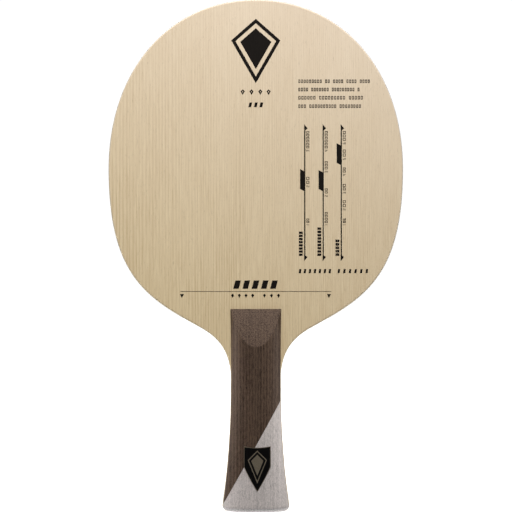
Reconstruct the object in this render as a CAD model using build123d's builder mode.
from build123d import *
from build123d.topology import SkipClean

import os

# Table tennis blade with a flared handle: seven plies, a scale of two woods on each side of the
# tongue, and a badge let into the front scale. Millimetres. +Z runs from the butt to the crown,
# +X to the right and -Y out of the front. The origin is the middle of the flat butt end, so the
# blade stands on it.

# Head, whose length is counted from the upper end of the handle to the crown.
head_width = 150.0
head_length = 157.6
widest_height = 71.2  # of the head's widest line, above the handle
crown_fullness = 0.57  # pull of the outline's control points along each side
shoulder_fullness = 0.60
cheek_fullness = 0.69

# Neck, where the head's outline turns inwards and runs down into the handle.
neck_half_width = 28.1  # of the point where the outline turns from round to hollow
neck_drop = 9.6  # from the handle's upper end down to that point
neck_slope = 29.0  # degrees below level, of the outline there
neck_pull_out = 30.0  # length of the outline's handle towards the cheek
neck_pull_in = 15.4  # and towards the handle
neck_end_drop = 37.4  # from the handle's upper end down to where the neck has faded out
neck_end_pull = 11.2
neck_bury = 0.5  # how far inside the handle's side the neck's outline ends
neck_end_lean = 0.8  # sideways lean of the outline over neck_end_pull, so it crosses the side

# Plies, from the faces to the middle.
face_veneer_thickness = 0.65
fibre_ply_thickness = 0.25
inner_veneer_thickness = 0.70
core_thickness = 2.60
rim_radius = 0.8

# Handle, an oval that is widest at the butt and narrowest at the waist.
handle_length = 102.9
waist_height = 61.4
butt_half_width = 17.5
waist_half_width = 12.87
top_half_width = 13.25
butt_half_depth = 12.4
waist_half_depth = 11.2
top_half_depth = 11.4
oval_fullness = 0.62  # 0.55 is an ellipse, and 1 is a rectangle
grip_station_count = 8
butt_radius = 2.6

# Thumb ramp at the upper end of each scale.
ramp_length = 19.1
ramp_lip = 1.0  # height of the scale above the blade at its upper end
ramp_hollow = 0.35  # sagitta of the ramp's arc

# Slanted joint between the dark and the light wood.
slant_centre_height = 33.6
slant_angle = 61.0  # degrees from level, rising to the right

# Badge, a shield bent to the crown and let into the front scale.
badge_width = 13.5
badge_height = 22.9
badge_side_height = 10.4  # of the straight sides, under which the badge narrows to its point
badge_top_height = 33.5
badge_shift = 0.75  # to the right of the handle's middle
badge_dip = 0.7  # of the upper edge, in its middle
badge_bulge = 0.25  # sagitta of the edges that run in to the point
badge_gap = 0.1  # between the badge and its pocket's wall
badge_sink = 0.05  # of the badge's metal lines below the crown
badge_ridge = 0.06  # how far the metal lines stand above the enamel
enamel_thickness = 0.22
badge_base_thickness = 0.45
adhesive_thickness = 0.1
badge_border = 0.25

# Motif on the badge: a solid kite inside a kite-shaped ring.
motif_side_gap = 1.9  # from the badge's straight sides to the ring's side corners
motif_top_gap = 2.0  # from the badge's upper corners down to the ring's upper corner
motif_tip_gap = 4.2  # from the ring's lower corner down to the badge's point
motif_shoulder = 4.9  # from the ring's upper corner down to its side corners
motif_line = 0.5  # width of the ring's line
motif_ring_gap = 1.0  # between the ring and the solid kite

# Worked-out sizes.
half_blade = core_thickness / 2 + inner_veneer_thickness + fibre_ply_thickness + face_veneer_thickness
overall_length = handle_length + head_length
widest_line = handle_length + widest_height
neck_line = handle_length - neck_drop
neck_end_line = handle_length - neck_end_drop
enamel_depth = badge_sink + badge_ridge  # of the enamel's face below the crown
base_depth = enamel_depth + enamel_thickness
adhesive_depth = base_depth + badge_base_thickness
pocket_depth = adhesive_depth + adhesive_thickness
reach = 2 * max(head_width, overall_length)  # past every face, for tools that cut right through

front = Plane.XZ  # its normal points out of the front, at -Y


def flared(height, butt, waist, top):
    """A half size of the oval at a height: two parabolas that meet level at the waist."""
    if height < waist_height:
        return waist + (butt - waist) * (1 - height / waist_height) ** 2
    return waist + (top - waist) * ((height - waist_height) / (handle_length - waist_height)) ** 2


def half_depth(height):
    """Half the handle's depth at a height."""
    return flared(height, butt_half_depth, waist_half_depth, top_half_depth)


def half_width(height):
    """Half the handle's width at a height."""
    return flared(height, butt_half_width, waist_half_width, top_half_width)


def write(part, name):
    """Labels a finished piece and writes it as a STEP file of that name."""
    part.label = name
    export_step(part, f"parts/{name}.step")
    print(f"{name}: {part.volume / 1000:.2f} cm3, {len(part.solids())} solid(s)")


os.makedirs("parts", exist_ok=True)

# The whole handle as one oval bar, from which the scales and the blade's tongue are both cut,
# so that their sides are flush as sanded wood is.
with BuildPart() as grip:
    for station in range(grip_station_count):
        station_height = handle_length * station / (grip_station_count - 1)
        wide = half_width(station_height)
        deep = half_depth(station_height)
        with BuildSketch(Plane.XY.offset(station_height)):
            with BuildLine():
                Bezier(
                    (wide, 0),
                    (wide, oval_fullness * deep),
                    (oval_fullness * wide, deep),
                    (0, deep),
                )
                mirror(about=Plane.YZ)
                mirror(about=Plane.XZ)
            make_face()
    loft()
    fillet(grip.edges().group_by(Axis.Z)[0], butt_radius)

# The whole blade as one board: the head with its sanded rim, and the tongue inside the handle.
with BuildPart() as tongue:
    add(grip.part)
    split(bisect_by=front.offset(half_blade), keep=Keep.BOTTOM)
    split(bisect_by=front.offset(-half_blade), keep=Keep.TOP)

neck_point = Vector(neck_half_width, neck_line)
neck_way = Vector(-1, 0).rotate(Axis.Z, neck_slope)  # down and inwards
neck_end = Vector(half_width(neck_end_line) - neck_bury, neck_end_line)

with BuildPart() as board:
    with BuildSketch(front.offset(-half_blade)):
        with BuildLine():
            Bezier(
                (0, overall_length),
                (crown_fullness * head_width / 2, overall_length),
                (head_width / 2, widest_line + shoulder_fullness * (overall_length - widest_line)),
                (head_width / 2, widest_line),
            )
            Bezier(
                (head_width / 2, widest_line),
                (head_width / 2, widest_line - cheek_fullness * (widest_line - neck_line)),
                neck_point - neck_way * neck_pull_out,
                neck_point,
            )
            Bezier(
                neck_point,
                neck_point + neck_way * neck_pull_in,
                neck_end + Vector(neck_end_lean, neck_end_pull),
                neck_end,
            )
            Line(neck_end, (0, neck_end_line))
            mirror(about=Plane.YZ)
        make_face()
    extrude(amount=2 * half_blade)
    rims = board.edges().group_by(Axis.Y)
    fillet((rims[0] + rims[-1]).filter_by(GeomType.LINE, reverse=True), rim_radius)
    add(tongue.part)

# Each ply is a slice of the board. The face veneers keep a seam level with the handle's upper
# end, where the part that takes a rubber sheet stops and the part under the scales starts.
plies = (
    ("front_face_veneer", face_veneer_thickness),
    ("front_fibre_ply", fibre_ply_thickness),
    ("front_inner_veneer", inner_veneer_thickness),
    ("core_ply", core_thickness),
    ("back_inner_veneer", inner_veneer_thickness),
    ("back_fibre_ply", fibre_ply_thickness),
    ("back_face_veneer", face_veneer_thickness),
)
ply_front = half_blade
for ply_name, ply_thickness in plies:
    with BuildPart() as ply:
        add(board.part)
        split(bisect_by=front.offset(ply_front), keep=Keep.BOTTOM)
        ply_front -= ply_thickness
        split(bisect_by=front.offset(ply_front), keep=Keep.TOP)
    if ply_thickness == face_veneer_thickness:
        with BuildPart() as hitting_half:
            add(ply.part)
            split(bisect_by=Plane.XY.offset(handle_length), keep=Keep.TOP)
        with BuildPart() as ply_with_seam:
            add(ply.part)
            split(bisect_by=Plane.XY.offset(handle_length), keep=Keep.BOTTOM)
            with SkipClean():  # which would merge the seam away
                add(hitting_half.part)
        write(ply_with_seam.part, ply_name)
    else:
        write(ply.part, ply_name)

# Each scale is the handle's half outside the blade, with a hollow ramp for the thumb cut across
# its upper end, and is glued up from two woods along the slanted joint.
slant = Plane(
    origin=(0, 0, slant_centre_height),
    x_dir=Vector(1, 0, 0).rotate(Axis.Y, -slant_angle),
    z_dir=Vector(0, 0, 1).rotate(Axis.Y, -slant_angle),
)
ramp_foot = Vector(-half_depth(handle_length - ramp_length), handle_length - ramp_length)
ramp_head = Vector(-half_blade - ramp_lip, handle_length)

with BuildPart() as scale:
    add(grip.part)
    split(bisect_by=front.offset(half_blade), keep=Keep.TOP)
    with BuildSketch(Plane.YZ):
        with BuildLine():
            SagittaArc(ramp_foot, ramp_head, ramp_hollow)
            Polyline(
                ramp_head,
                ramp_head + Vector(0, ramp_lip),
                (-reach, handle_length + ramp_lip),
                (-reach, ramp_foot.Y),
                ramp_foot,
            )
        make_face()
    extrude(amount=reach, both=True, mode=Mode.SUBTRACT)

# The badge's outline, a shield with straight sides, which then narrows to its point.
badge_top = Vector(badge_shift, badge_top_height)
badge_shoulder = badge_top - Vector(0, badge_side_height)
badge_tip = badge_top - Vector(0, badge_height)
badge_half = Vector(badge_width / 2, 0)
with BuildSketch(front) as badge_outline:
    with BuildLine():
        ThreePointArc(badge_top - badge_half, badge_top - Vector(0, badge_dip), badge_top + badge_half)
        Line(badge_top - badge_half, badge_shoulder - badge_half)
        SagittaArc(badge_shoulder - badge_half, badge_tip, -badge_bulge)
        SagittaArc(badge_tip, badge_shoulder + badge_half, -badge_bulge)
        Line(badge_shoulder + badge_half, badge_top + badge_half)
    make_face()


def kite(inset):
    """A sketch of the motif's kite, drawn in by a width all round."""
    top = badge_top - Vector(0, motif_top_gap)
    side = Vector(badge_width / 2 - motif_side_gap, -motif_shoulder)
    other_side = Vector(-side.X, side.Y)
    bottom = badge_tip + Vector(0, motif_tip_gap)
    with BuildSketch(front) as outline:
        with BuildLine():
            Polyline(top, top + side, bottom, top + other_side, close=True)
        make_face()
        if inset:
            offset(amount=-inset, kind=Kind.INTERSECTION, mode=Mode.REPLACE)
    return outline.sketch_local


with BuildSketch(front) as badge_field:
    add(badge_outline.sketch_local)
    offset(amount=-badge_border, kind=Kind.INTERSECTION, mode=Mode.REPLACE)
    add(kite(0), mode=Mode.SUBTRACT)

with BuildSketch(front) as badge_ring:
    add(kite(motif_line))
    add(kite(motif_line + motif_ring_gap), mode=Mode.SUBTRACT)


def sheet_under_crown(outline, depth, thickness):
    """A sheet of an outline, bent to the handle's crown, whose face is a depth below it."""
    with BuildPart() as sheet:
        extrude(outline, amount=reach)
        add(grip.part.translate((0, depth, 0)), mode=Mode.INTERSECT)
        add(grip.part.translate((0, depth + thickness, 0)), mode=Mode.SUBTRACT)
    return sheet.part


with BuildPart() as pocket:
    with BuildSketch(front):
        add(badge_outline.sketch_local)
        offset(amount=badge_gap, kind=Kind.INTERSECTION, mode=Mode.REPLACE)
    extrude(amount=reach)
    add(grip.part.translate((0, pocket_depth, 0)), mode=Mode.SUBTRACT)

for wood, side_of_joint in (("dark", Keep.TOP), ("light", Keep.BOTTOM)):
    with BuildPart() as back_wood:
        add(scale.part)
        split(bisect_by=slant, keep=side_of_joint)
    with BuildPart() as front_wood:
        add(back_wood.part)
        add(pocket.part, mode=Mode.SUBTRACT)
    write(front_wood.part, f"front_scale_{wood}")
    write(back_wood.part.rotate(Axis.Z, 180), f"back_scale_{wood}")

# Badge: a film of adhesive, a struck plate with a raised border and motif, and enamel in the
# two hollows between them.
write(sheet_under_crown(badge_outline.sketch, adhesive_depth, adhesive_thickness), "badge_adhesive")

enamel_field = sheet_under_crown(badge_field.sketch, enamel_depth, enamel_thickness)
enamel_ring = sheet_under_crown(badge_ring.sketch, enamel_depth, enamel_thickness)
write(enamel_field, "badge_enamel_field")
write(enamel_ring, "badge_enamel_ring")

plate_blank = sheet_under_crown(badge_outline.sketch, badge_sink, adhesive_depth - badge_sink)
with BuildPart() as badge_plate:
    add(plate_blank)
    for hollow in (badge_field.sketch, badge_ring.sketch):
        add(sheet_under_crown(hollow, badge_sink, base_depth - badge_sink), mode=Mode.SUBTRACT)
write(badge_plate.part, "badge_plate")
